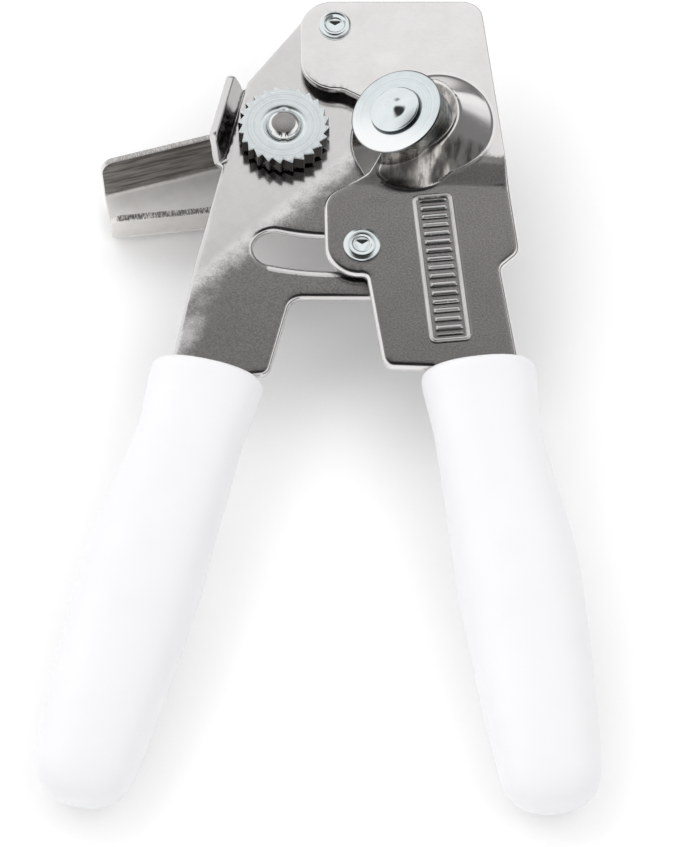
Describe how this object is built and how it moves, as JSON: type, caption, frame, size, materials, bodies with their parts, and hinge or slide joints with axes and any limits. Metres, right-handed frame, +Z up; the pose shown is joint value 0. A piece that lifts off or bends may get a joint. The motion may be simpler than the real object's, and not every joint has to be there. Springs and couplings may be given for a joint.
{
  "type": "manual can opener",
  "caption": "Plier-type manual can opener: riveted stamped levers, white moulded grips, toothed feed wheel, tilted cutter wheel and a folded turning crank.",
  "frame": {"origin": "centre of the footprint on the table that the opener lies on, cutter side up, handles open", "axes": "+Y from the grips towards the head, +X towards the front lever's side, +Z up from the table"},
  "size_m": [0.1028, 0.1804, 0.0338],
  "materials": {
    "lever_plate": "nickel-chrome plate over brushed sheet, faint grain",
    "crank_plate": "nickel-chrome plate, satin",
    "polished_steel": "polished",
    "cutter_steel": "zinc-plated, ground bevel",
    "zinc": "bright zinc with turned marks",
    "white_grip": "smooth satin moulded vinyl"
  },
  "bodies": {
    "rear_lever": {"rear_lever_plate": "lever_plate", "left_grip": "white_grip", "pivot_rivet": "zinc", "pivot_spacer": "zinc", "shaft_bushing": "zinc"},
    "front_lever": {"front_lever_plate": "lever_plate", "right_grip": "white_grip", "guide_rivet": "zinc", "guide_spacer": "zinc", "guide_bush": "zinc", "guide_rear_washer": "zinc", "cutter_rivet": "polished_steel", "cutter_spring_washer": "zinc"},
    "cutter": {"cutter_wheel": "cutter_steel"},
    "drive_train": {"drive_shaft": "polished_steel", "feed_wheel": "zinc", "feed_thrust_washer": "zinc", "crank": "crank_plate", "crank_collar": "zinc"}
  },
  "joints": [
    {"name": "handle_pivot", "type": "hinge", "parent": "rear_lever", "child": "front_lever", "pos_m": [0.00206, 0.08229, 0.0241], "axis": [-0.0201, 0.1013, -0.9946], "range_deg": [0, 19.3]},
    {"name": "crank_spin", "type": "hinge", "parent": "rear_lever", "child": "drive_train", "pos_m": [-0.00846, 0.05721, 0.02176], "axis": [0.0201, -0.1013, 0.9946], "continuous": true},
    {"name": "cutter_spin", "type": "hinge", "parent": "front_lever", "child": "cutter", "pos_m": [0.01466, 0.05652, 0.03027], "axis": [-0.3559, -0.0943, 0.9297], "continuous": true}
  ]
}
